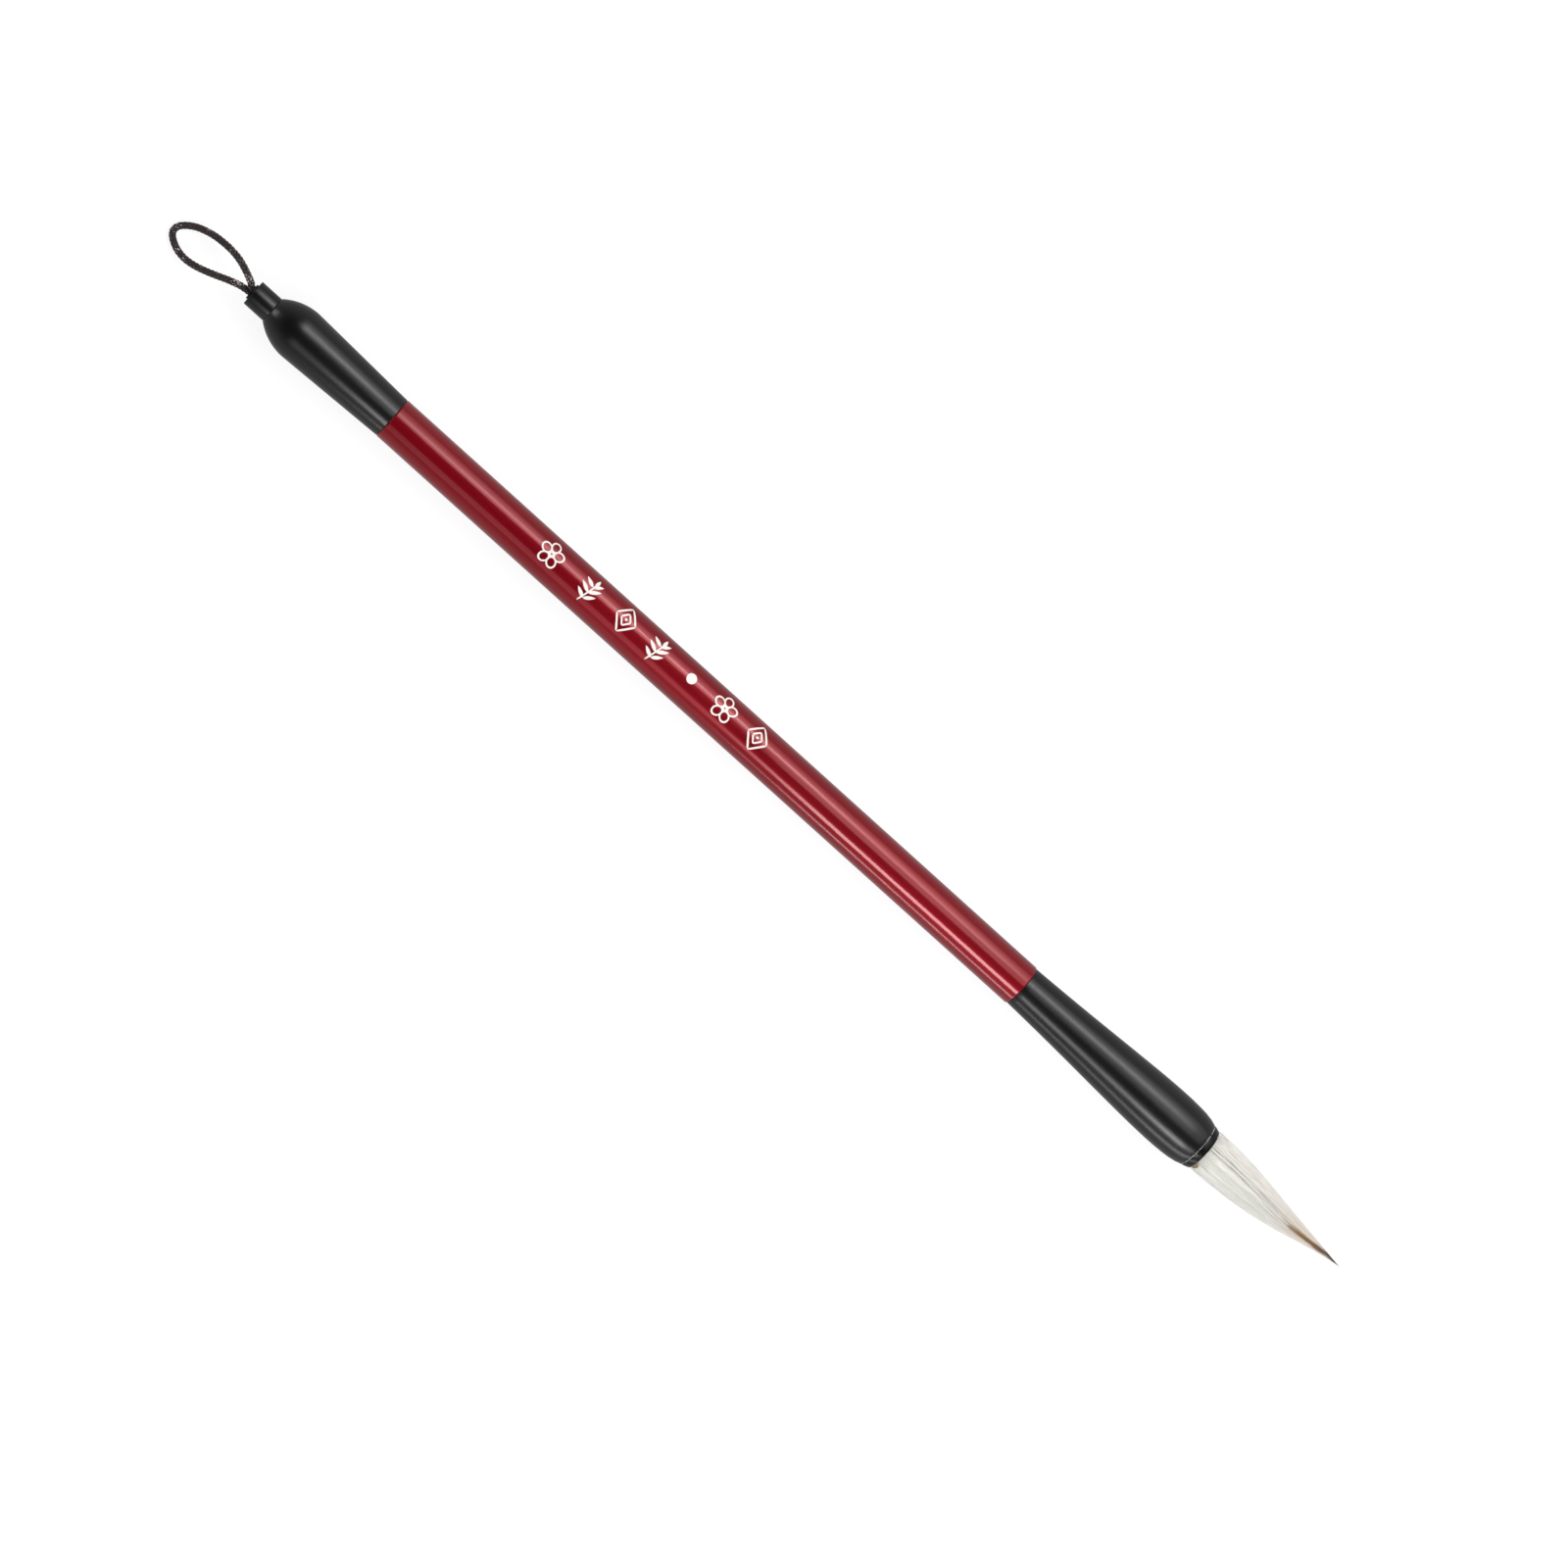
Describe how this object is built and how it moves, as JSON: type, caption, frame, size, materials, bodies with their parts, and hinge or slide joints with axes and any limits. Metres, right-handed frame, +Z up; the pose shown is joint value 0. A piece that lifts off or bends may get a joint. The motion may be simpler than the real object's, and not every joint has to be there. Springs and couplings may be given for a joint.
{
  "type": "calligraphy brush",
  "caption": "Calligraphy brush with a lacquered round shaft, end cap with a braided hanging loop, flared ferrule and a pointed hair tuft that bends at its mouth.",
  "frame": {"origin": "under the middle of the brush, on the surface it lies on, measured without the cord loop", "axes": "+X along the brush towards the tip of the hair, +Y across it, +Z up off the surface"},
  "size_m": [0.2689, 0.0104, 0.0104],
  "materials": {
    "red_lacquer": "gloss lacquer over wood",
    "black_plastic": "satin gloss, moulded",
    "black_gloss": "high gloss",
    "black_cord": "braided polyester",
    "white_hair": "straight goat hair, smooth",
    "brown_hair": "straight stiff hair, smooth",
    "amber_resin": "clear brown glue",
    "linen_thread": "waxed linen thread",
    "white_print": "printed white ink"
  },
  "bodies": {
    "handle": {"shaft": "red_lacquer", "end_cap": "black_plastic", "cord_collar": "black_plastic", "cord_bush": "black_gloss", "cord_tails": "black_cord", "cord_knot": "black_cord", "ferrule": "black_plastic", "mouth_ring": "black_gloss", "root_resin": "amber_resin", "root_thread": "linen_thread", "hair_root": "white_hair"},
    "loop": {"hanging_loop": "black_cord"},
    "tuft": {"mantle_hair": "white_hair", "lining_hair": "white_hair", "core_hair": "brown_hair"}
  },
  "joints": [
    {"name": "loop_swing", "type": "hinge", "parent": "handle", "child": "loop", "pos_m": [-0.12768, 0, 0.00522], "axis": [0, 0, 1], "range_deg": [-72, 72]},
    {"name": "tuft_bend", "type": "hinge", "parent": "handle", "child": "tuft", "pos_m": [0.09592, 0, 0.00522], "axis": [0, 0, 1], "range_deg": [-35, 35], "stiffness_Nm_per_rad": 0.002}
  ]
}
